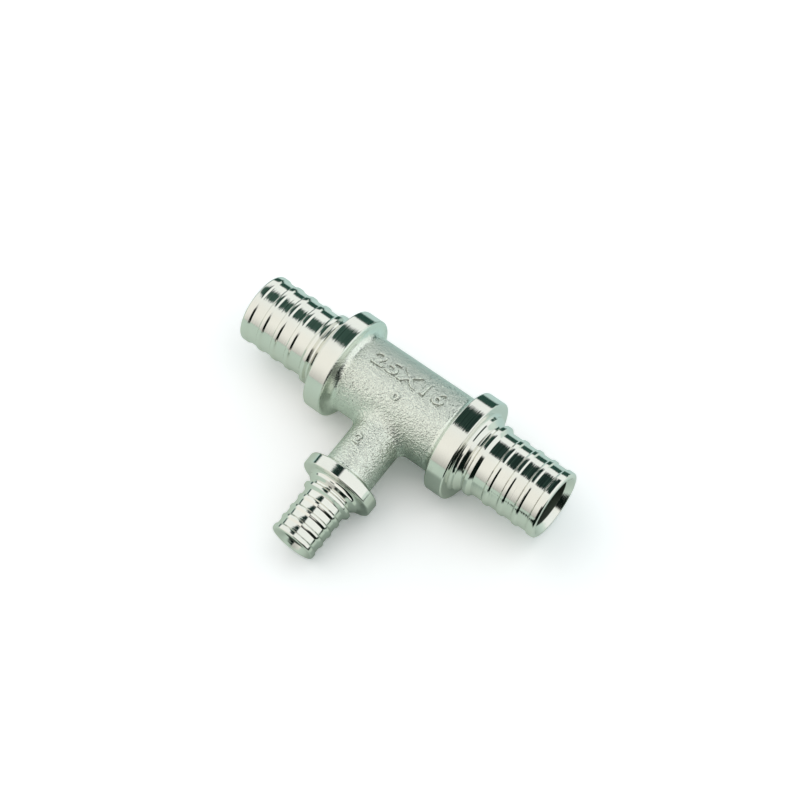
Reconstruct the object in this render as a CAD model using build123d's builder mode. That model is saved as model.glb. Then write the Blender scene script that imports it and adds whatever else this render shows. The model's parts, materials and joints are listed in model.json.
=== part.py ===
"""Reducing pipe tee, forged in one piece: a run with two equal barbed ends and a smaller branch end.

The run lies along X and the branch points along -Y. The origin is where the two axes cross, and the
forging was parted at Z = 0. Stations are measured from the origin along the axis of an end. Outlines
are lists of corners: station, radius from the axis, and the length over which the corner is blended
on each side. Millimetres.
"""

import os
from math import radians, sqrt, tan

from build123d import *

# Run: two equal ends along X
run_reach = 50.1
run_bore_diameter = 14.6
run_mouth_diameter = 17.9
run_body_diameter = 23.5
run_flank_blend = 2.2
run_collar_diameter = 30.6
run_collar_face = 23.55
run_collar_width = 5.75
run_collar_chamfer = 0.4
run_hub_diameter = 23.2
run_hub_length = 1.35
run_hub_chamfer = 0.5
run_neck_diameter = 20.1
run_neck_slope = 1.4
run_neck_length = 0.6
run_ring_diameter = 21.7
run_ring_rise = 0.55
run_ring_land = 1.05
run_ring_fall = 0.9
run_root_diameter = 19.68
run_crest_diameter = 20.5
run_rib_pitch = 4.8
run_rib_rise = 0.57
run_rib_land = 0.9
run_rib_fall = 0.5
run_tip_width = 2.65
run_nose_length = 0.75

# Branch: one smaller end along -Y
branch_reach = 49.55
branch_bore_diameter = 8.6
branch_mouth_diameter = 12.0
branch_body_diameter = 14.8
branch_flank_blend = 1.4
branch_collar_diameter = 22.2
branch_collar_face = 30.6
branch_collar_width = 3.75
branch_collar_chamfer = 0.35
branch_hub_diameter = 16.0
branch_hub_length = 1.3
branch_hub_chamfer = 0.45
branch_neck_diameter = 13.4
branch_neck_slope = 1.1
branch_neck_length = 0.5
branch_ring_diameter = 15.0
branch_ring_rise = 0.5
branch_ring_land = 0.8
branch_ring_fall = 0.8
branch_root_diameter = 12.76
branch_crest_diameter = 13.54
branch_rib_pitch = 3.42
branch_rib_rise = 0.45
branch_rib_land = 0.6
branch_rib_fall = 0.65
branch_tip_width = 1.95
branch_nose_length = 0.65

# Shared by the three ends
flank_draft = 8
mouth_angle = 90

# Where the branch leaves the run, and the ridge that the forging dies left on the parting plane
junction_fillet = 2.0
parting_height = 0.15
parting_width = 0.8
parting_fillet = 2.8


def flank_foot(body, collar, face, width):
    """Station where the collar's drafted flank, drawn on down, meets the forged body."""
    return face - width - (collar - body) * tan(radians(flank_draft))


def collar_corners(foot, body, flank_blend, collar, face, width, chamfer_size):
    """From the axis up to the forged body, and up the collar's flank to its front corner."""
    edge = collar - chamfer_size
    return [
        (0, 0, 0),
        (0, body, 0),
        (foot, body, min(flank_blend, edge - body)),
        (face - width, edge, 0),
        (face - width + chamfer_size, collar, 0),
        (face - chamfer_size, collar, 0),
        (face, edge, 0),
    ]


def neck_corners(face, hub, hub_length, hub_chamfer, slope, neck, neck_length):
    """From the collar's front face down the turned hub to the floor of the neck."""
    slope_start = face + hub_length
    neck_start = slope_start + slope
    return [
        (face, hub + hub_chamfer, 0),
        (face + hub_chamfer, hub, 0),
        (slope_start, hub, 0),
        (neck_start, neck, 0),
        (neck_start + neck_length, neck, 0),
    ]


def ring_corners(start, ring, rise, land, fall, root):
    """The ring at the foot of the spigot, from the floor of the neck down to the spigot's root."""
    return [
        (start + rise, ring, 0),
        (start + rise + land, ring, 0),
        (start + rise + land + fall, root, 0),
    ]


def rib_corners(ring_end, reach, root, crest, pitch, rise, land, fall, tip_width, nose_length):
    """Ribs at one pitch from the tip back to the ring; the last is wider and ends in the nose."""
    tip_start = reach - tip_width
    nose_middle = nose_length * (1 - sqrt(0.5))
    corners = []
    for index in range(int((tip_start - ring_end) / pitch), 0, -1):
        start = tip_start - index * pitch
        corners += [
            (start, root, 0),
            (start + rise, crest, 0),
            (start + rise + land, crest, 0),
            (start + rise + land + fall, root, 0),
        ]
    return corners + [
        (tip_start, root, 0),
        (tip_start + rise, crest, 0),
        (reach - nose_length, crest, 0),
        (reach - nose_middle, crest - nose_middle, 0),
        (reach, crest - nose_length, 0),
        (reach, 0, 0),
    ]


def draw_outline(corners):
    """Draw the closed half section, with a smooth curve round each corner that has a blend."""
    points = [Vector(station, radius) for station, radius, _ in corners]
    blends = [blend for _, _, blend in corners]
    starts = []
    ends = []
    for index, (point, blend) in enumerate(zip(points, blends)):
        before = points[index - 1]
        after = points[(index + 1) % len(points)]
        starts.append(point + (before - point).normalized() * blend)
        ends.append(point + (after - point).normalized() * blend)
        if blend:
            Bezier(starts[-1], point, ends[-1])
    for index, start in enumerate(starts):
        Line(ends[index - 1], start)


# Radii that more than one feature shares
run_body = run_body_diameter / 2
run_collar = run_collar_diameter / 2
run_root = run_root_diameter / 2
branch_body = branch_body_diameter / 2
branch_collar = branch_collar_diameter / 2
branch_root = branch_root_diameter / 2

run_foot = flank_foot(run_body, run_collar, run_collar_face, run_collar_width)
run_ring_start = run_collar_face + run_hub_length + run_neck_slope + run_neck_length
run_ring_end = run_ring_start + run_ring_rise + run_ring_land + run_ring_fall
run_corners = [
    *collar_corners(
        run_foot, run_body, run_flank_blend,
        run_collar, run_collar_face, run_collar_width, run_collar_chamfer,
    ),
    *neck_corners(
        run_collar_face, run_hub_diameter / 2, run_hub_length, run_hub_chamfer,
        run_neck_slope, run_neck_diameter / 2, run_neck_length,
    ),
    *ring_corners(
        run_ring_start, run_ring_diameter / 2, run_ring_rise, run_ring_land, run_ring_fall, run_root
    ),
    *rib_corners(
        run_ring_end, run_reach, run_root, run_crest_diameter / 2, run_rib_pitch,
        run_rib_rise, run_rib_land, run_rib_fall, run_tip_width, run_nose_length,
    ),
]

branch_foot = flank_foot(branch_body, branch_collar, branch_collar_face, branch_collar_width)
branch_ring_start = branch_collar_face + branch_hub_length + branch_neck_slope + branch_neck_length
branch_ring_end = branch_ring_start + branch_ring_rise + branch_ring_land + branch_ring_fall
branch_corners = [
    *collar_corners(
        branch_foot, branch_body, branch_flank_blend,
        branch_collar, branch_collar_face, branch_collar_width, branch_collar_chamfer,
    ),
    *neck_corners(
        branch_collar_face, branch_hub_diameter / 2, branch_hub_length, branch_hub_chamfer,
        branch_neck_slope, branch_neck_diameter / 2, branch_neck_length,
    ),
    *ring_corners(
        branch_ring_start, branch_ring_diameter / 2, branch_ring_rise,
        branch_ring_land, branch_ring_fall, branch_root,
    ),
    *rib_corners(
        branch_ring_end, branch_reach, branch_root, branch_crest_diameter / 2, branch_rib_pitch,
        branch_rib_rise, branch_rib_land, branch_rib_fall, branch_tip_width, branch_nose_length,
    ),
]

# The branch is drawn with its station along -Y
branch_plane = Plane(origin=(0, 0, 0), x_dir=(0, -1, 0), z_dir=(0, 0, 1))

with BuildPart() as tee:
    # Turned and forged outside of the run: one half, and its mirror image
    with BuildSketch(Plane.XY):
        with BuildLine():
            draw_outline(run_corners)
        make_face()
    revolve(axis=Axis.X)
    mirror(about=Plane.YZ)

    # Branch, blended into the run all round its foot
    with BuildSketch(branch_plane):
        with BuildLine():
            draw_outline(branch_corners)
        make_face()
    revolve(axis=Axis.Y)
    fillet(tee.edges(Select.NEW), radius=junction_fillet)

    # Parting ridge on the forged body, with a small web in each corner beside the branch
    with BuildSketch(Plane.XY):
        Rectangle(2 * run_foot, 2 * (run_body + parting_height))
        Rectangle(2 * (branch_body + parting_height), branch_foot, align=(Align.CENTER, Align.MAX))
        front_corners = vertices().group_by(Axis.Y)[1].sort_by(Axis.X)
        fillet(front_corners[1:-1], radius=parting_fillet)
    extrude(amount=parting_width / 2, both=True)

    # Through bore of the run, with a countersunk mouth at each end
    for side in (1, -1):
        end_plane = Plane(origin=(side * run_reach, 0, 0), z_dir=(side, 0, 0))
        with Locations(end_plane):
            CounterSinkHole(
                radius=run_bore_diameter / 2,
                counter_sink_radius=run_mouth_diameter / 2,
                depth=run_reach,
                counter_sink_angle=mouth_angle,
            )

    # Bore of the branch, as far as the run's
    with Locations(Plane(origin=(0, -branch_reach, 0), z_dir=(0, -1, 0))):
        CounterSinkHole(
            radius=branch_bore_diameter / 2,
            counter_sink_radius=branch_mouth_diameter / 2,
            depth=branch_reach,
            counter_sink_angle=mouth_angle,
        )

tee.part.label = "tee_body"

os.makedirs("parts", exist_ok=True)
export_step(tee.part, "parts/tee_body.step")
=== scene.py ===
"""Dresses the packed pipe tee: blasted forging, bright turned ends, raised size marks and a studio."""

import json
import math

import bpy
import numpy as np
from mathutils import Euler, Matrix, Vector


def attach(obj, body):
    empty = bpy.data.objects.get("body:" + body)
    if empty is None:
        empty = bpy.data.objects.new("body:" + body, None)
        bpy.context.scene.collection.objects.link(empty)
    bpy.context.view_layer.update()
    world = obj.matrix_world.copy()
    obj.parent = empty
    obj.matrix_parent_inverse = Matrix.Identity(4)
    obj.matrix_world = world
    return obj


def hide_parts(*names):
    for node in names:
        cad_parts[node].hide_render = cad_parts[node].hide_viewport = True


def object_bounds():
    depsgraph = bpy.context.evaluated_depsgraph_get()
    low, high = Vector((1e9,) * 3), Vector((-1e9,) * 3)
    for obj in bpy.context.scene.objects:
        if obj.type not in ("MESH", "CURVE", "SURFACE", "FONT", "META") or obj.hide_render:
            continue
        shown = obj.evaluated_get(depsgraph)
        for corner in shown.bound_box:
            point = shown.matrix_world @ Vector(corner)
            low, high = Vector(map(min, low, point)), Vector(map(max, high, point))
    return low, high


bl_info = {
    "name": "Pipe tee dresser",
    "version": (1, 0, 0),
    "blender": (4, 5, 0),
    "location": "3D View > Sidebar > Pipe tee",
    "description": "Models the finished surfaces of a reducing pipe tee over its packed solid",
    "category": "Object",
}

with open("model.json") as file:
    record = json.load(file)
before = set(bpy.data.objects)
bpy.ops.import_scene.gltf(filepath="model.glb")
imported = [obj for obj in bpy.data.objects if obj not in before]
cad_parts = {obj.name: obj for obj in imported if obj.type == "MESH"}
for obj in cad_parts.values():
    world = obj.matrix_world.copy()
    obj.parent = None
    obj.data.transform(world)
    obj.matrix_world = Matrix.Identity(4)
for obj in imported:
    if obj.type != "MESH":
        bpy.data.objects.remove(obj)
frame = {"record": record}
CAD_LOW, CAD_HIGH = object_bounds()
NODE = "tee_body"
BODY = "root"
MM = 0.001
TINY = 1e-7
MOUNTS = {mount["name"]: mount for mount in frame["record"]["mounts"]}

# Height of a digit as a share of its font's size
DIGIT_HEIGHT = 0.7

# Dark colours of the studio, which the floor also takes as painted shade and painted reflection where
# the metal sees it, and the floor's own, over 1 so that it is still white under soft light
DARK = (0.004, 0.008, 0.006)
TEAL = (0.03, 0.075, 0.06)
FLOOR_WHITE = (1.33, 1.2, 1.22)

# Axes and names that the operators share
RUN_AXIS = Vector((1, 0, 0))
BRANCH_AXIS = Vector((0, -1, 0))
ORIGIN = (0, 0, 0)
PIECES = {
    "forging": "forged_body",
    "right": "run_end_right",
    "left": "run_end_left",
    "branch": "branch_end",
    "marks": "raised_size_marks",
}


def mount_radius(name):
    """Radius in millimetres of a mount of the packed part."""
    return MOUNTS[name]["dims"]["r_mm"]


def millimetres(name, description, default):
    """A length property whose default is written in millimetres."""
    return bpy.props.FloatProperty(
        name=name, description=description, default=default * MM, unit="LENGTH", precision=5
    )


def degrees(name, description, default):
    """An angle property whose default is written in degrees."""
    return bpy.props.FloatProperty(
        name=name, description=description, default=math.radians(default), unit="ROTATION"
    )


def faces_round(name, description, default):
    """A number of faces round a turned surface."""
    return bpy.props.IntProperty(name=name, description=description, default=default, min=3)


def colour(name, description, default):
    """A colour property."""
    return bpy.props.FloatVectorProperty(
        name=name, description=description, default=default, size=3, subtype="COLOR", min=0, max=1
    )


def factor(name, description, default):
    """A number from 0 to 1."""
    return bpy.props.FloatProperty(
        name=name, description=description, default=default, min=0, max=1, subtype="FACTOR"
    )


class RunSizes(bpy.types.PropertyGroup):
    """Sizes of the run and of its two equal ends."""

    reach: millimetres("Reach", "From the branch's axis to the end face", CAD_HIGH.x / MM)
    bore: millimetres("Bore", "Radius of the through bore", mount_radius("run_bore"))
    mouth: millimetres("Mouth", "Radius of the countersunk mouth", 8.95)
    body: millimetres("Body", "Radius of the forged body", 11.75)
    flank_fillet: millimetres("Flank fillet", "Where the forged body meets the collar", 2.5)
    collar: millimetres("Collar", "Radius of the turned collar", CAD_HIGH.z / MM)
    face: millimetres("Collar face", "From the branch's axis to the collar's face", 23.55)
    collar_width: millimetres("Collar width", "Forged flank's edge to the collar's face", 5.75)
    hub: millimetres("Hub", "Radius of the hub in front of the collar", 11.6)
    hub_length: millimetres("Hub length", "Length of the hub", 1.35)
    neck: millimetres("Neck", "Radius of the neck's floor", 10.05)
    neck_slope: millimetres("Neck slope", "Length of the slope into the neck", 1.4)
    neck_length: millimetres("Neck length", "Length of the neck's floor", 0.6)
    ring: millimetres("Ring", "Radius of the ring at the spigot's foot", 10.85)
    ring_rise: millimetres("Ring rise", "Length of the ring's rising side", 0.55)
    ring_land: millimetres("Ring land", "Length of the ring's crest", 1.05)
    ring_fall: millimetres("Ring fall", "Length of the ring's falling side", 0.9)
    root: millimetres("Root", "Radius between the ribs", 9.84)
    crest: millimetres("Crest", "Radius of the ribs", mount_radius("run_spigot_right"))
    pitch: millimetres("Rib pitch", "From one rib to the next", 4.8)
    rib_rise: millimetres("Rib rise", "Length of a rib's rising side", 0.47)
    rib_land: millimetres("Rib land", "Length of a rib's crest", 0.98)
    rib_fall: millimetres("Rib fall", "Length of a rib's falling side", 0.4)
    tip: millimetres("Tip width", "Width of the last rib with the nose", 2.65)
    nose: millimetres("Nose", "Rounding of the tip", 0.72)
    steps: faces_round("Steps", "Faces round the turned end", 224)


class BranchSizes(bpy.types.PropertyGroup):
    """Sizes of the branch and of its end."""

    reach: millimetres("Reach", "From the run's axis to the end face", -CAD_LOW.y / MM)
    bore: millimetres("Bore", "Radius of the bore", mount_radius("branch_bore"))
    mouth: millimetres("Mouth", "Radius of the countersunk mouth", 6.0)
    body: millimetres("Body", "Radius of the forged body", 7.4)
    flank_fillet: millimetres("Flank fillet", "Where the forged body meets the collar", 1.6)
    collar: millimetres("Collar", "Radius of the turned collar", 11.1)
    face: millimetres("Collar face", "From the run's axis to the collar's face", 30.6)
    collar_width: millimetres("Collar width", "Forged flank's edge to the collar's face", 3.75)
    hub: millimetres("Hub", "Radius of the hub in front of the collar", 8.0)
    hub_length: millimetres("Hub length", "Length of the hub", 1.3)
    neck: millimetres("Neck", "Radius of the neck's floor", 6.7)
    neck_slope: millimetres("Neck slope", "Length of the slope into the neck", 1.1)
    neck_length: millimetres("Neck length", "Length of the neck's floor", 0.5)
    ring: millimetres("Ring", "Radius of the ring at the spigot's foot", 7.5)
    ring_rise: millimetres("Ring rise", "Length of the ring's rising side", 0.5)
    ring_land: millimetres("Ring land", "Length of the ring's crest", 0.8)
    ring_fall: millimetres("Ring fall", "Length of the ring's falling side", 0.8)
    root: millimetres("Root", "Radius between the ribs", 6.38)
    crest: millimetres("Crest", "Radius of the ribs", mount_radius("branch_spigot"))
    pitch: millimetres("Rib pitch", "From one rib to the next", 3.42)
    rib_rise: millimetres("Rib rise", "Length of a rib's rising side", 0.45)
    rib_land: millimetres("Rib land", "Length of a rib's crest", 0.6)
    rib_fall: millimetres("Rib fall", "Length of a rib's falling side", 0.65)
    tip: millimetres("Tip width", "Width of the last rib with the nose", 1.95)
    nose: millimetres("Nose", "Rounding of the tip", 0.6)
    steps: faces_round("Steps", "Faces round the turned end", 192)


class EdgeSizes(bpy.types.PropertyGroup):
    """Roundings that the three turned ends share."""

    collar_back: millimetres("Collar back", "Where the turned collar begins", 0.05)
    collar_front: millimetres("Collar front", "Front edge of the collar", 0.45)
    hub_foot: millimetres("Hub foot", "Between the collar's face and the hub", 1.0)
    hub_edge: millimetres("Hub edge", "Where the hub slopes into the neck", 0.25)
    neck_start: millimetres("Neck start", "At the foot of that slope", 0.2)
    neck_end: millimetres("Neck end", "Where the neck rises to the ring", 0.15)
    ring_foot: millimetres("Ring foot", "Where the ring falls to the spigot's root", 0.16)
    rib: millimetres("Ribs", "Edges of the ring and of the ribs, and their feet", 0.08)
    mouth_rim: millimetres("Mouth rim", "Rim of the countersunk mouth", 0.08)
    mouth_foot: millimetres("Mouth foot", "Where the mouth meets the bore", 0.06)


class ForgingSizes(bpy.types.PropertyGroup):
    """What the forging dies gave to the body."""

    draft: degrees("Draft", "Lean of the collars' flanks", 8)
    edge_step: millimetres("Edge step", "How far the forged flank stays under the turned edge", 0.04)
    shoulder: millimetres("Shoulder", "Rounding at the top of the flank", 0.4)
    overlap: millimetres("Overlap", "How far the blank runs on past the cut at the collar", 0.6)
    mesh_pitch: millimetres("Mesh pitch", "Size of the forging's mesh faces", 0.3)
    steps: faces_round("Steps", "Faces round a forged bar before it is meshed evenly", 160)
    bore_steps: faces_round("Bore steps", "Faces round a bore", 192)
    blend: millimetres("Branch blend", "Fillet where the branch leaves the run", 2.0)
    web: millimetres("Web", "Fillet on the parting plane beside the branch", 3.0)
    web_half: millimetres("Web half width", "How fast the web fades out off that plane", 0.7)
    parting_height: millimetres("Parting height", "Height of the parting ridge", 0.12)
    parting_half: millimetres("Parting half width", "Half the width of the parting ridge", 0.45)
    parting_gap: millimetres("Parting gap", "How far the ridge stops short of the turned ends", 0.5)


class MarkSizes(bpy.types.PropertyGroup):
    """The raised size marks: a line and a small ring on the run, and a number on the branch."""

    height: millimetres("Height", "Height of the line", 4.8)
    length: millimetres("Length", "Length of the line", 23.5)
    angle: degrees("Angle", "Middle of the line, from the back over the top", 73.5)
    ring_height: millimetres("Ring height", "Height of the small ring", 2.6)
    number_height: millimetres("Number height", "Height of the branch's number", 3.2)
    number_place: millimetres("Number place", "Of the branch's number along Y", -17.3)
    small_angle: degrees("Small marks' angle", "Middle of the ring and of the number", 105)
    relief: millimetres("Relief", "How far the marks stand out", 0.58)
    bevel: millimetres("Bevel", "Sloping edge of the marks", 0.24)
    mesh_pitch: millimetres("Mesh pitch", "Size of the marks' mesh faces", 0.09)


class Finish(bpy.types.PropertyGroup):
    """Colours and roughness of the plating."""

    bright: colour("Bright nickel", "Reflected colour of the turned metal", (0.85, 0.85, 0.8))
    matt: colour("Matt nickel", "Reflected colour of the blasted forging", (0.87, 0.91, 0.84))
    # Painted shade: the bores take this dark colour, and the marks' feet take half of it.
    bore: colour("Bore", "Reflected colour of the dull metal inside the bores", (0.22, 0.25, 0.21))
    bright_roughness: factor("Bright roughness", "Roughness of the turned metal", 0.09)
    matt_roughness: factor("Matt roughness", "Roughness of the blasted forging", 0.22)


class Studio(bpy.types.PropertyGroup):
    """Floor, light and camera."""

    floor_size: millimetres("Floor size", "Side of the square floor", 6000)
    floor_lean: degrees("Floor lean", "Of the floor under collars of two sizes", 8.27)
    lamp_size: millimetres("Lamp size", "Side of the square lamp", 1100)
    lamp_place: bpy.props.FloatVectorProperty(
        name="Lamp place", description="Middle of the lamp, which points at the tee",
        default=(-0.2, 0.15, 1.0), subtype="TRANSLATION", unit="LENGTH",
    )
    lamp_power: bpy.props.FloatProperty(
        name="Lamp power", description="Of the lamp, in watts", default=2.5, min=0
    )
    lamp_colour: colour("Lamp colour", "Of the lamp's light", (1.0, 0.93, 0.9))
    focal_length: bpy.props.FloatProperty(
        name="Focal length", description="Of the camera, in millimetres", default=102.15
    )
    aim: bpy.props.FloatVectorProperty(
        name="Aim", description="Point that the camera looks at",
        default=(-1.995 * MM, 0.199 * MM, 0), subtype="TRANSLATION", unit="LENGTH", precision=5,
    )
    distance: millimetres("Camera distance", "From the aim point to the camera", 616.45)
    azimuth: degrees("Azimuth", "Camera's place round the tee", 46.776)
    elevation: degrees("Elevation", "Camera's height over the tee", 66.127)
    roll: degrees("Roll", "Camera's turn about its own axis", -9.936)


SETTINGS = {
    "tee_run": RunSizes,
    "tee_branch": BranchSizes,
    "tee_edges": EdgeSizes,
    "tee_forging": ForgingSizes,
    "tee_marks": MarkSizes,
    "tee_finish": Finish,
    "tee_studio": Studio,
}


# Modelling helpers


def select_only(*objects):
    """Leave object mode with only these objects selected, the first of them active."""
    if bpy.context.object and bpy.context.object.mode != "OBJECT":
        bpy.ops.object.mode_set(mode="OBJECT")
    bpy.ops.object.select_all(action="DESELECT")
    for thing in objects:
        thing.select_set(True)
    bpy.context.view_layer.objects.active = objects[0]


def apply_modifier(piece, kind, **settings):
    """Add one modifier with its settings and apply it."""
    select_only(piece)
    bpy.ops.object.modifier_add(type=kind)
    modifier = piece.modifiers[-1]
    for name, value in settings.items():
        setattr(modifier, name, value)
    bpy.ops.object.modifier_apply(modifier=modifier.name)


def join(*objects):
    """Join objects into the first one."""
    select_only(*objects)
    bpy.ops.object.join()
    return objects[0]


def arc_points(before, corner, after, radius, step):
    """Points of the arc of a radius that rounds a corner between two straight runs."""
    towards = (before - corner).normalized()
    away = (after - corner).normalized()
    half = towards.angle(away) / 2
    setback = radius / math.tan(half)
    centre = corner + (towards + away).normalized() * (radius / math.sin(half))
    start = corner + towards * setback - centre
    end = corner + away * setback - centre
    sweep = start.angle_signed(end)
    count = max(2, math.ceil(abs(sweep) / step))
    turns = [Matrix.Rotation(-sweep * index / count, 2) for index in range(count + 1)]
    return [centre + turn @ start for turn in turns]


def rounded_outline(corners, step=math.radians(18), closed=True):
    """Outline through (station, radius, rounding) corners, each rounded by its own arc."""
    points = []
    places = [Vector((station, radius)) for station, radius, _ in corners]
    for index, (_, _, rounding) in enumerate(corners):
        at_end = not closed and index in (0, len(corners) - 1)
        if rounding and not at_end:
            after = places[(index + 1) % len(places)]
            points += arc_points(places[index - 1], places[index], after, rounding, step)
        else:
            points.append(places[index])
    return points


def turn_on_lathe(name, outline, axis, steps, closed):
    """Draw an outline corner by corner from one vertex and spin it about an axis through the origin."""
    side = Vector((0, 0, 1))
    places = [axis * station + side * radius for station, radius in outline]
    if closed:
        places.append(places[0])
    bpy.ops.object.select_all(action="DESELECT")
    bpy.ops.mesh.primitive_plane_add(size=MM)
    piece = bpy.context.object
    piece.name = name
    bpy.ops.object.mode_set(mode="EDIT")
    bpy.ops.mesh.merge(type="CENTER")
    bpy.ops.transform.translate(value=places[0])
    for start, end in zip(places, places[1:]):
        bpy.ops.mesh.extrude_region_move(TRANSFORM_OT_translate={"value": end - start})
    bpy.ops.mesh.select_all(action="SELECT")
    bpy.ops.mesh.remove_doubles(threshold=TINY)
    bpy.ops.mesh.spin(steps=steps, angle=math.tau, center=ORIGIN, axis=axis)
    bpy.ops.mesh.select_all(action="SELECT")
    bpy.ops.mesh.remove_doubles(threshold=TINY)
    bpy.ops.mesh.normals_make_consistent(inside=False)
    bpy.ops.object.mode_set(mode="OBJECT")
    return piece


def read_vertices(piece):
    """The places of a mesh's vertices as an array with one row each."""
    places = np.empty(len(piece.data.vertices) * 3)
    piece.data.vertices.foreach_get("co", places)
    return places.reshape(-1, 3)


def write_vertices(piece, places):
    """Move a mesh's vertices to the places in an array."""
    piece.data.vertices.foreach_set("co", places.ravel())
    piece.data.update()


def finish_piece(piece, material, even=False, smooth_angle=math.radians(35)):
    """Shade a piece, give it its material and let it ride on the part's body.

    With even, wide faces keep their own direction beside narrow roundings.
    """
    if not piece.data.polygons:
        raise RuntimeError(f"{piece.name} came out without faces")
    select_only(piece)
    bpy.ops.object.shade_smooth_by_angle(angle=smooth_angle)
    if even:
        apply_modifier(piece, "WEIGHTED_NORMAL", keep_sharp=True)
    piece.data.materials.clear()
    piece.data.materials.append(material)
    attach(piece, BODY)


# Outlines


def flank_foot(size, draft):
    """Station where the collar's leaning flank, drawn on down, meets the forged body."""
    return size.face - size.collar_width - (size.collar - size.body) * math.tan(draft)


def turned_edge(size, forging):
    """Station of the edge where the turned collar begins."""
    return size.face - size.collar_width + forging.shoulder


def blank_outline(size, forging):
    """Corners of one forged end: foot and top of the flank, and the blank's end inside the collar."""
    foot = flank_foot(size, forging.draft)
    back = size.face - size.collar_width
    edge = size.collar - forging.edge_step
    inside = turned_edge(size, forging) + forging.overlap
    return [
        (foot, size.body, size.flank_fillet),
        (back, edge, forging.shoulder),
        (inside, edge, 0),
        (inside, 0, 0),
    ]


def rib_outline(start, size, rounding):
    """One rib: a ramp up, a land and a ramp down."""
    land = start + size.rib_rise
    fall = land + size.rib_land
    return [
        (start, size.root, rounding),
        (land, size.crest, rounding),
        (fall, size.crest, rounding),
        (fall + size.rib_fall, size.root, rounding),
    ]


def end_outline(size, edges, forging):
    """Closed half section of a turned end: bore, collar, hub, neck, ring, ribs and mouth."""
    slope = size.face + size.hub_length
    neck = slope + size.neck_slope
    ring = neck + size.neck_length + size.ring_rise
    fall = ring + size.ring_land
    tip = size.reach - size.tip
    back = turned_edge(size, forging)
    corners = [
        (back, size.bore, 0),
        (back, size.collar, edges.collar_back),
        (size.face, size.collar, edges.collar_front),
        (size.face, size.hub, edges.hub_foot),
        (slope, size.hub, edges.hub_edge),
        (neck, size.neck, edges.neck_start),
        (neck + size.neck_length, size.neck, edges.neck_end),
        (ring, size.ring, edges.rib),
        (fall, size.ring, edges.rib),
        (fall + size.ring_fall, size.root, edges.ring_foot),
    ]
    ribs = int((tip - fall - size.ring_fall) / size.pitch)
    for index in range(ribs, 0, -1):
        corners += rib_outline(tip - index * size.pitch, size, edges.rib)
    countersink = size.mouth - size.bore
    return corners + [
        (tip, size.root, edges.rib),
        (tip + size.rib_rise, size.crest, edges.rib),
        (size.reach, size.crest, size.nose),
        (size.reach, size.mouth, edges.mouth_rim),
        (size.reach - countersink, size.bore, edges.mouth_foot),
    ]


# Shader maths


class Socket:
    """An output socket, or a number, on which Python's operators build Math nodes."""

    def __init__(self, tree, value):
        self.tree = tree
        self.value = value

    def math(self, operation, *others):
        """Add a Math node on this value and others."""
        values = [self.value] + [getattr(other, "value", other) for other in others]
        return self.tree.node("ShaderNodeMath", {"operation": operation}, *values)

    def __add__(self, other):
        return self.math("ADD", other)

    def __sub__(self, other):
        return self.math("SUBTRACT", other)

    def __mul__(self, other):
        return self.math("MULTIPLY", other)

    def __pow__(self, other):
        return self.math("POWER", other)

    def __radd__(self, other):
        return self.math("ADD", other)

    def __rmul__(self, other):
        return self.math("MULTIPLY", other)

    def __rsub__(self, other):
        return Socket(self.tree, other).math("SUBTRACT", self)

    def ramp(self, low, high):
        """0 below low, 1 above high and smooth between. If high is lower, 1 below it and 0 above low."""
        settings = {"interpolation_type": "SMOOTHSTEP", "clamp": True}
        return self.tree.node("ShaderNodeMapRange", settings, self.value, low, high, 0.0, 1.0)

    def between(self, low, high, edge):
        """1 between low and high, with soft edges."""
        return self.ramp(low - edge, low + edge) * self.ramp(high + edge, high - edge)


class Nodes:
    """A node tree that is built by calling node()."""

    def __init__(self, tree):
        self.tree = tree
        self.tree.nodes.clear()

    def node(self, kind, settings=None, *values, output=0, **named):
        """Add a node: settings first, then its inputs by order or by name; returns one output."""
        node = self.tree.nodes.new(kind)
        for name, value in (settings or {}).items():
            setattr(node, name, value)
        pairs = list(zip(node.inputs, values))
        pairs += [(node.inputs[name.replace("_", " ")], value) for name, value in named.items()]
        for socket, value in pairs:
            self.link(value, socket)
        return Socket(self, node.outputs[output]) if len(node.outputs) else None

    def place(self, kind="Object"):
        """Coordinates of one kind, as a vector and split into X, Y and Z."""
        vector = self.node("ShaderNodeTexCoord", output=kind)
        parts = self.node("ShaderNodeSeparateXYZ", Vector=vector).value.node
        return vector, [Socket(self, parts.outputs[axis]) for axis in "XYZ"]

    def noise(self, vector, scale, detail=2.0, roughness=0.5, dimensions="3D"):
        """Noise from 0 to 1 at a vector, or at a number in one dimension."""
        settings = {"noise_dimensions": dimensions}
        source = {"W": vector} if dimensions == "1D" else {"Vector": vector}
        return self.node(
            "ShaderNodeTexNoise", settings, Scale=scale, Detail=detail, Roughness=roughness, **source
        )

    def tint(self, share, one, other):
        """Mix of two colours, which come after five inputs for numbers and vectors."""
        skipped = [None] * 5
        return self.node("ShaderNodeMix", {"data_type": "RGBA"}, share, *skipped, one, other, output=2)

    def link(self, value, socket):
        """Set a socket to a number, vector or colour, or link it; None leaves it alone."""
        value = getattr(value, "value", value)
        if isinstance(value, bpy.types.NodeSocket):
            self.tree.links.new(value, socket)
        elif value is not None:
            socket.default_value = (*value, 1) if socket.type == "RGBA" else value


def new_material(name):
    """A material with an empty node tree."""
    material = bpy.data.materials.new(name)
    material.use_nodes = True
    return material, Nodes(material.node_tree)


def compass(x, y):
    """Heading round the upright axis in degrees: 0 along X, 90 along Y and -90 towards the front."""
    return y.math("ARCTAN2", x) * math.degrees(1)


def metal(nodes, base, roughness, normal):
    """Give the material a metal shader."""
    shader = nodes.node(
        "ShaderNodeBsdfPrincipled", Metallic=1.0, Normal=normal, Base_Color=base, Roughness=roughness
    )
    nodes.node("ShaderNodeOutputMaterial", Surface=shader)


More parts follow.
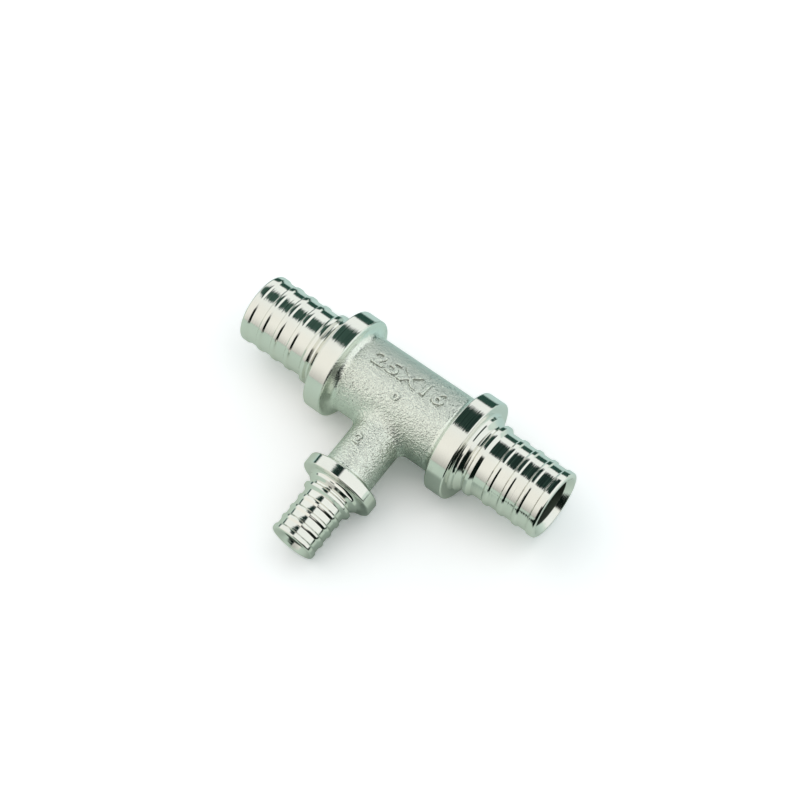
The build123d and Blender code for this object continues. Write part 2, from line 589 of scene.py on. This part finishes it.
def tool_marks(nodes, axis, slope):
    """The surface normal, leaned along the turning axis by a slope."""
    flat = nodes.node("ShaderNodeNewGeometry", output="Normal")
    settings = {"vector_type": "VECTOR", "convert_from": "OBJECT", "convert_to": "WORLD"}
    along = nodes.node("ShaderNodeVectorTransform", settings, axis)
    lean = nodes.node("ShaderNodeVectorMath", {"operation": "SCALE"}, Vector=along, Scale=slope)
    leaned = nodes.node("ShaderNodeVectorMath", {"operation": "ADD"}, flat, lean)
    return nodes.node("ShaderNodeVectorMath", {"operation": "NORMALIZE"}, leaned)


def turned_nickel(name, finish, axis, size):
    """Bright nickel with the fine rings that turning leaves about an axis, rougher inside the bore and
    painted dark there as shade.

    The path of the rings runs outwards as well as along, so that faces square to the axis have them.
    """
    material, nodes = new_material(name)
    vector, (x, y, z) = nodes.place()
    along, across = (x, y) if axis == RUN_AXIS else (y, x)
    station = along.math("ABSOLUTE")
    radius = (across * across + z * z) ** 0.5
    path = station + radius * 0.83
    fine = nodes.noise(path, scale=5000, roughness=0.7, dimensions="1D")
    broad = nodes.noise(path, scale=2600, roughness=0.6, dimensions="1D")
    cloud = nodes.noise(vector, scale=90, detail=3.0, roughness=0.55)
    inside = radius.ramp(size.bore + 0.1 * MM, size.bore + 0.02 * MM)
    spigot = station.ramp(size.face, size.face + MM)
    bright = Vector(finish.bright)
    skin = nodes.tint(cloud.ramp(0.35, 0.7), bright * 0.96, bright)
    # Painted shade: inside the bore the colour goes dark, and the roughness goes up.
    base = nodes.tint(inside, skin, Vector(finish.bore))
    roughness = finish.bright_roughness + (broad - 0.5) * 0.06 + (cloud - 0.5) * 0.05 + inside * 0.3
    slope = ((fine - 0.5) * 0.2 + (broad - 0.5) * 0.13) * (spigot * 0.5 + 1)
    normal = tool_marks(nodes, axis, slope)
    metal(nodes, base, roughness, normal)
    return material


def blasted_nickel(name, finish, bars=None):
    """Matt nickel with the grain of a blasted forging, fainter on the collars' flanks.

    With the radii of the run and the branch, shade is painted on the flanks of marks that stand on them:
    they go dark at their feet.
    """
    material, nodes = new_material(name)
    vector, (x, y, z) = nodes.place()
    grain = nodes.noise(vector, scale=2200, roughness=0.6)
    pits = nodes.noise(vector, scale=1100)
    lumps = nodes.noise(vector, scale=300)
    cloud = nodes.noise(vector, scale=120, detail=3.0)
    run_flank = x.math("ABSOLUTE").ramp(14.6 * MM, 16.4 * MM)
    branch_flank = y.ramp(-24.6 * MM, -26 * MM)
    rough = 1 - run_flank.math("MAXIMUM", branch_flank) * 0.75
    matt = Vector(finish.matt)
    shade = nodes.tint(grain.ramp(0.3, 0.6), matt * 0.85, matt)
    base = nodes.tint(cloud.ramp(0.3, 0.75) * 0.5, shade, matt * 0.93)
    if bars:
        run, branch = bars
        on_run = y.ramp(-run - 0.2 * MM, -run)
        over_run = (y * y + z * z) ** 0.5 - run
        over_branch = (x * x + z * z) ** 0.5 - branch
        height = over_run * on_run + over_branch * (1 - on_run)
        # Painted shade: the marks' flanks go dark towards their feet, in half the bore's painted dark.
        foot = height.ramp(0.5 * MM, 0.25 * MM)
        base = nodes.tint(foot * 0.6, base, Vector(finish.bore) * 0.5)
    roughness = finish.matt_roughness + (grain - 0.5) * 0.2
    normal = None
    for relief, depth in ((lumps, 0.16), (pits * rough, 0.25), (grain * rough, 0.22)):
        normal = nodes.node("ShaderNodeBump", Distance=depth * MM, Height=relief, Normal=normal)
    metal(nodes, base, roughness, normal)
    return material


def material_once(name, maker, *arguments):
    """Fetch a material by name, or make it."""
    return bpy.data.materials.get(name) or maker(name, *arguments)


# The pieces


class TEE_OT_forging(bpy.types.Operator):
    """Model the blasted forging: run and branch bodies with the collars' flanks."""

    bl_idname = "tee.forging"
    bl_label = "Forged body"

    def execute(self, context):
        scene = context.scene
        forging = scene.tee_forging
        run = self.blank(scene.tee_run, forging, RUN_AXIS, True)
        branch = self.blank(scene.tee_branch, forging, BRANCH_AXIS, False)
        body = join(run, branch)
        body.name = PIECES["forging"]
        apply_modifier(body, "REMESH", mode="VOXEL", voxel_size=forging.mesh_pitch)
        self.blend_branch(body, scene)
        apply_modifier(body, "SMOOTH", factor=0.5, iterations=3)
        self.raise_parting_ridge(body, scene)
        self.cut_ends(body, scene)
        self.cut_bores(body, scene)
        finish = scene.tee_finish
        finish_piece(body, material_once("blasted_nickel", blasted_nickel, finish))
        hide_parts(NODE)
        return {"FINISHED"}

    def blank(self, size, forging, axis, two_ended):
        """A solid of revolution for one forged bar, with a collar's flank at each forged end."""
        corners = blank_outline(size, forging)
        if two_ended:
            start = [(-station, radius, rounding) for station, radius, rounding in reversed(corners)]
        else:
            start = [(0, 0, 0), (0, size.body, 0)]
        outline = rounded_outline(start + corners, step=math.radians(12), closed=False)
        return turn_on_lathe("blank", outline, axis, forging.steps, False)

    def blend_branch(self, body, scene, rounds=6, gentlest=0.2):
        """Move the vertices in the corner between the two bars out to a fillet.

        Each round moves a vertex up the slope of its miss from the fillet's arc. The gentlest slope
        that counts keeps the step short where the two bars run side by side.
        """
        forging = scene.tee_forging
        places = read_vertices(body)
        for _ in range(rounds):
            x, y, z = places.T
            web = np.exp(-((z / forging.web_half) ** 2))
            blend = forging.blend + (forging.web - forging.blend) * web
            run_radius = np.hypot(y, z)
            branch_radius = np.hypot(x, z)
            run_gap = run_radius - scene.tee_run.body
            branch_gap = branch_radius - scene.tee_branch.body
            to_run = np.maximum(blend - run_gap, 0)
            to_branch = np.maximum(blend - branch_gap, 0)
            reach = np.hypot(to_run, to_branch)
            inside = (to_run > 0) & (to_branch > 0) & (y < 0) & (reach > blend)
            if not inside.any():
                break
            miss = (reach - blend)[inside]
            run_out = np.stack([np.zeros_like(x), y, z], 1)[inside] / run_radius[inside, None]
            branch_out = np.stack([x, np.zeros_like(y), z], 1)[inside] / branch_radius[inside, None]
            slope = to_run[inside, None] * run_out + to_branch[inside, None] * branch_out
            slope /= reach[inside, None]
            steep = (slope**2).sum(1)
            places[inside] += slope * (miss / np.maximum(steep, gentlest))[:, None]
        write_vertices(body, places)

    def raise_parting_ridge(self, body, scene):
        """Lift a low soft ridge along the parting plane, but not beside the turned ends."""
        forging = scene.tee_forging
        places = read_vertices(body)
        normals = np.empty(len(body.data.vertices) * 3)
        body.data.vertices.foreach_get("normal", normals)
        near = np.clip(1 - np.abs(places[:, 2]) / forging.parting_half, 0, 1)
        lift = near * near * (3 - 2 * near) * forging.parting_height
        ends = ((scene.tee_run, np.abs(places[:, 0])), (scene.tee_branch, -places[:, 1]))
        for size, station in ends:
            lift[station > turned_edge(size, forging) - forging.parting_gap] = 0
        write_vertices(body, places + normals.reshape(-1, 3) * lift[:, None])

    def cut_ends(self, body, scene):
        """Cut the three forged ends off flat where the turned collars begin."""
        forging = scene.tee_forging
        run_end = turned_edge(scene.tee_run, forging)
        branch_end = turned_edge(scene.tee_branch, forging)
        select_only(body)
        bpy.ops.object.mode_set(mode="EDIT")
        for axis, station in ((RUN_AXIS, run_end), (-RUN_AXIS, run_end), (BRANCH_AXIS, branch_end)):
            bpy.ops.mesh.select_all(action="SELECT")
            bpy.ops.mesh.bisect(
                plane_co=axis * station, plane_no=axis, use_fill=True, clear_outer=True, threshold=TINY
            )
        bpy.ops.object.mode_set(mode="OBJECT")

    def cut_bores(self, body, scene):
        """Cut the two bores, which meet at the origin."""
        run = scene.tee_run
        branch = scene.tee_branch
        quarter = math.pi / 2
        drills = (
            (run.bore, 2 * run.reach, ORIGIN, (0, quarter, 0)),
            (branch.bore, branch.reach, BRANCH_AXIS * branch.reach / 2, (quarter, 0, 0)),
        )
        steps = scene.tee_forging.bore_steps
        for radius, length, place, turn in drills:
            select_only(body)
            bpy.ops.mesh.primitive_cylinder_add(
                vertices=steps, radius=radius, depth=length, location=place, rotation=turn
            )
            drill = bpy.context.object
            select_only(drill)
            bpy.ops.object.transform_apply(location=True, rotation=True, scale=True)
            apply_modifier(body, "BOOLEAN", operation="DIFFERENCE", object=drill, solver="EXACT")
            bpy.data.objects.remove(drill)


class TEE_OT_turned_ends(bpy.types.Operator):
    """Model the bright turned ends: collar, neck, ring, ribs, nose and mouth."""

    bl_idname = "tee.turned_ends"
    bl_label = "Turned ends"

    def execute(self, context):
        scene = context.scene
        right = self.turned_end(scene, PIECES["right"], scene.tee_run, RUN_AXIS)
        left = self.copy_across(right, PIECES["left"])
        branch = self.turned_end(scene, PIECES["branch"], scene.tee_branch, BRANCH_AXIS)
        looks = (
            (right, "turned_nickel_run", RUN_AXIS, scene.tee_run),
            (left, "turned_nickel_run", RUN_AXIS, scene.tee_run),
            (branch, "turned_nickel_branch", BRANCH_AXIS, scene.tee_branch),
        )
        for piece, name, axis, size in looks:
            nickel = material_once(name, turned_nickel, scene.tee_finish, axis, size)
            finish_piece(piece, nickel, even=True)
            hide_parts(NODE)
        return {"FINISHED"}

    def turned_end(self, scene, name, size, axis):
        """Turn one end from its closed half section."""
        outline = rounded_outline(end_outline(size, scene.tee_edges, scene.tee_forging))
        return turn_on_lathe(name, outline, axis, size.steps, True)

    def copy_across(self, piece, name):
        """Copy an end and turn the copy half round the upright axis."""
        select_only(piece)
        bpy.ops.object.duplicate()
        other = bpy.context.object
        other.name = name
        select_only(other)
        bpy.ops.object.mode_set(mode="EDIT")
        bpy.ops.mesh.select_all(action="SELECT")
        bpy.ops.transform.rotate(value=math.pi, orient_axis="Z", center_override=ORIGIN)
        bpy.ops.object.mode_set(mode="OBJECT")
        return other


class TEE_OT_marks(bpy.types.Operator):
    """Model the raised size marks: plain pipe sizes on the run, and a small ring and number."""

    bl_idname = "tee.marks"
    bl_label = "Raised marks"

    def execute(self, context):
        scene = context.scene
        marks = scene.tee_marks
        run = scene.tee_run.body
        branch = scene.tee_branch.body
        line = self.flat_text("25X16", marks, marks.height, marks.length)
        self.wrap(line, RUN_AXIS, run, marks.angle)
        spot = self.flat_text("o", marks, marks.ring_height)
        self.wrap(spot, RUN_AXIS, run, marks.small_angle)
        number = self.flat_text("2", marks, marks.number_height)
        self.wrap(number, BRANCH_AXIS, branch, marks.small_angle, marks.number_place)
        piece = join(line, spot, number)
        piece.name = PIECES["marks"]
        # The bars' radii let the marks' material paint shade at their feet.
        bars = (run, branch)
        nickel = material_once("blasted_nickel_marks", blasted_nickel, scene.tee_finish, bars)
        finish_piece(piece, nickel)
        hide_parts(NODE)
        return {"FINISHED"}

    def flat_text(self, text, marks, height, length=None):
        """Flat marks with soft edges, centred on the origin: their relief points along Z.

        They get this height, and this length too where one is given.
        """
        bpy.ops.object.select_all(action="DESELECT")
        bpy.ops.object.text_add()
        mark = bpy.context.object
        mark.data.body = text
        mark.data.extrude = marks.relief - marks.bevel
        mark.data.bevel_depth = marks.bevel
        mark.data.bevel_resolution = 0
        mark.data.align_x = "CENTER"
        mark.data.align_y = "CENTER"
        mark.data.size = height / DIGIT_HEIGHT
        mark.data.space_character = 1.2
        mark.data.offset = 0.01 * height
        bpy.ops.object.convert(target="MESH")
        mark = bpy.context.object
        width, tall = mark.dimensions.x, mark.dimensions.y
        stretch = (length / width if length else height / tall, height / tall, 1)
        centre = sum((Vector(corner) for corner in mark.bound_box), Vector()) / 8
        mark.data.transform(Matrix.Diagonal((*stretch, 1)) @ Matrix.Translation(-centre))
        mark.location = ORIGIN
        apply_modifier(mark, "REMESH", mode="VOXEL", voxel_size=marks.mesh_pitch)
        apply_modifier(mark, "SMOOTH", factor=0.5, iterations=1)
        return mark

    def wrap(self, mark, axis, radius, angle, place=0):
        """Bend flat marks round a bar. They read along the run, and across the branch."""
        along, across = (0, 1) if axis == RUN_AXIS else (1, 0)
        flat = read_vertices(mark)
        turn = angle - flat[:, across] / radius
        out = radius + flat[:, 2]
        places = np.empty_like(flat)
        places[:, along] = flat[:, along] + place
        places[:, across] = out * np.cos(turn)
        places[:, 2] = out * np.sin(turn)
        write_vertices(mark, places)


class TEE_OT_stage(bpy.types.Operator):
    """Set the pale floor, the studio light and the camera."""

    bl_idname = "tee.stage"
    bl_label = "Studio"

    def execute(self, context):
        scene = context.scene
        studio = scene.tee_studio
        self.floor(scene, studio)
        self.world(scene)
        self.lamp(studio)
        self.camera(scene, studio)
        scene.view_settings.view_transform = "Standard"
        return {"FINISHED"}

    def floor(self, scene, studio):
        """A pale floor that leans as the three collars stand on it, clear from below."""
        lean = Matrix.Rotation(-studio.floor_lean, 4, "X")
        down = lean @ Vector((0, 0, -scene.tee_run.collar))
        bpy.ops.object.select_all(action="DESELECT")
        bpy.ops.mesh.primitive_plane_add(
            size=studio.floor_size, location=down, rotation=lean.to_euler()
        )
        plane = bpy.context.object
        plane.name = "floor"
        material, nodes = new_material("pale_floor")
        seen = nodes.node("ShaderNodeLightPath", output="Is Camera Ray")
        # To the camera the floor is plain white; to the metal it has painted shade and a painted
        # reflection.
        shade = nodes.tint(seen, self.reflected_floor(nodes), FLOOR_WHITE)
        paper = nodes.node("ShaderNodeBsdfDiffuse", Color=shade)
        clear = nodes.node("ShaderNodeBsdfTransparent")
        under = nodes.node("ShaderNodeNewGeometry", output="Backfacing")
        shown = nodes.node("ShaderNodeMixShader", None, under, paper, clear)
        nodes.node("ShaderNodeOutputMaterial", Surface=shown)
        plane.data.materials.append(material)

    def reflected_floor(self, nodes):
        """The floor as the metal sees it, with painted shade and a painted reflection: pale close by,
        and painted dark far off in front, as the dark room's reflection, and behind.

        It is painted darker in the corner beside the branch too, as shade, and lighter on the right at
        the back.
        """
        _, (x, y, _) = nodes.place()
        near = nodes.tint(y.ramp(0.0, 0.04), (0.66, 0.7, 0.62), (0.64, 0.74, 0.72))
        lighter = x.ramp(0.03, 0.1) * y.ramp(-0.05, 0.0)
        near = nodes.tint(lighter, near, (0.85, 0.86, 0.8))
        # Painted shade: the floor goes darker and teal in the corner beside the branch.
        corner = x.between(0.0, 0.024, 0.006) * y.between(-0.055, 0.0, 0.01)
        near = nodes.tint(corner * 0.42, near, TEAL)
        # Painted dark far off behind, and in front as a painted reflection of the dark room.
        behind = y.ramp(0.08, 0.13) * x.ramp(0.08, 0.05)
        in_front = compass(x, y).between(-80, -4, 4) * (x * 1.4 - y).ramp(0.105, 0.13)
        return nodes.tint(in_front, nodes.tint(behind, near, TEAL), DARK)

    def world(self, scene):
        """White all round with dark cards, so that the bright metal has something to reflect."""
        world = bpy.data.worlds.new("studio")
        world.use_nodes = True
        scene.world = world
        nodes = Nodes(world.node_tree)
        _, (x, y, z) = nodes.place("Generated")
        white = nodes.tint(y.ramp(0.4, -0.5), (0.96, 1.0, 0.98), (0.98, 0.97, 0.91))
        card = nodes.tint(x.ramp(-0.24, -0.37), (0.01, 0.024, 0.02), (0.05, 0.1, 0.08))
        sky = nodes.tint(self.overhead_card(x, y, z), white, card)
        sky = nodes.tint(self.horizon_strips(x, y, z), sky, TEAL)
        sky = nodes.tint(self.dark_room(compass(x, y), z), sky, DARK)
        glossy = nodes.node("ShaderNodeLightPath", output="Is Glossy Ray")
        camera = nodes.node("ShaderNodeLightPath", output="Is Camera Ray")
        cool = nodes.tint(0.25, sky, (0.3, 0.8, 0.85))
        shown = nodes.tint(camera, nodes.tint(glossy, cool, sky), (1, 1, 1))
        background = nodes.node("ShaderNodeBackground", Color=shown, Strength=1.0)
        nodes.node("ShaderNodeOutputWorld", Surface=background)

    def overhead_card(self, x, y, z):
        """Mask of the card overhead towards the back, with its two left corners cut off."""
        card = y.between(0.06, 0.88, 0.015) * x.between(-0.55, 0.02, 0.05) * z.ramp(0.3, 0.4)
        return card * (y + x).ramp(-0.2, -0.15) * (y - x).ramp(1.125, 1.075)

    def horizon_strips(self, x, y, z):
        """Mask of the strips along the horizon, behind and on the left."""
        behind = z.ramp(0.09, 0.01) * y.ramp(0.3, 0.6) * x.ramp(0.38, 0.22)
        left = z.ramp(0.18, 0.06) * x.ramp(-0.5, -0.8) * y.ramp(-0.15, 0.1)
        return behind.math("MAXIMUM", left)

    def dark_room(self, heading, z):
        """Mask of the room in front on the right, higher towards the front, with dusk beside it."""
        height = z - (heading * -0.0045 + 0.44)
        depth = height.ramp(0.0, -0.4) * 0.04 + 0.96
        room = heading.between(-92, -3, 3) * height.ramp(0.06, -0.06) * depth
        dusk = heading.ramp(-135, -95) * heading.ramp(-60, -80) * z.ramp(0.75, 0.0) * 0.6
        return room.math("MAXIMUM", dusk)

    def lamp(self, studio):
        """One large soft lamp over the tee on the left, which the metal doesn't show as a spot."""
        bpy.ops.object.light_add(type="AREA", location=studio.lamp_place)
        lamp = bpy.context.object
        lamp.name = "softbox"
        lamp.data.shape = "SQUARE"
        lamp.data.size = studio.lamp_size
        lamp.data.energy = studio.lamp_power
        lamp.data.color = studio.lamp_colour
        lamp.rotation_euler = lamp.location.to_track_quat("Z", "Y").to_euler()
        lamp.visible_glossy = False

    def camera(self, scene, studio):
        """The camera at the photograph's angle, with the axes' crossing near the picture's middle."""
        level = Euler((math.pi / 2 - studio.elevation, 0, studio.azimuth)).to_matrix()
        turn = level @ Matrix.Rotation(studio.roll, 3, "Z")
        place = Vector(studio.aim) + turn @ Vector((0, 0, studio.distance))
        bpy.ops.object.camera_add(location=place)
        camera = bpy.context.object
        camera.rotation_euler = turn.to_euler()
        camera.data.lens = studio.focal_length
        camera.data.sensor_width = 36
        camera.data.clip_start = 0.01
        scene.camera = camera


class TEE_PT_panel(bpy.types.Panel):
    """Buttons for the tee's pieces and its studio."""

    bl_idname = "TEE_PT_panel"
    bl_label = "Pipe tee"
    bl_space_type = "VIEW_3D"
    bl_region_type = "UI"
    bl_category = "Pipe tee"

    def draw(self, context):
        for operator in OPERATORS:
            self.layout.operator(operator.bl_idname)
        for name, group in SETTINGS.items():
            box = self.layout.box()
            box.label(text=group.__doc__)
            for prop in group.__annotations__:
                box.prop(getattr(context.scene, name), prop)


OPERATORS = (TEE_OT_forging, TEE_OT_turned_ends, TEE_OT_marks, TEE_OT_stage)


def register():
    """Register the settings, operators and panel."""
    for name, group in SETTINGS.items():
        bpy.utils.register_class(group)
        setattr(bpy.types.Scene, name, bpy.props.PointerProperty(type=group))
    for operator in OPERATORS:
        bpy.utils.register_class(operator)
    bpy.utils.register_class(TEE_PT_panel)


def unregister():
    """Take everything back out, in the opposite order."""
    bpy.utils.unregister_class(TEE_PT_panel)
    for operator in reversed(OPERATORS):
        bpy.utils.unregister_class(operator)
    for name, group in reversed(SETTINGS.items()):
        delattr(bpy.types.Scene, name)
        bpy.utils.unregister_class(group)


def main():
    """Make every piece and the studio."""
    register()
    bpy.ops.tee.forging()
    bpy.ops.tee.turned_ends()
    bpy.ops.tee.marks()
    bpy.ops.tee.stage()


if __name__ == "__main__":
    main()
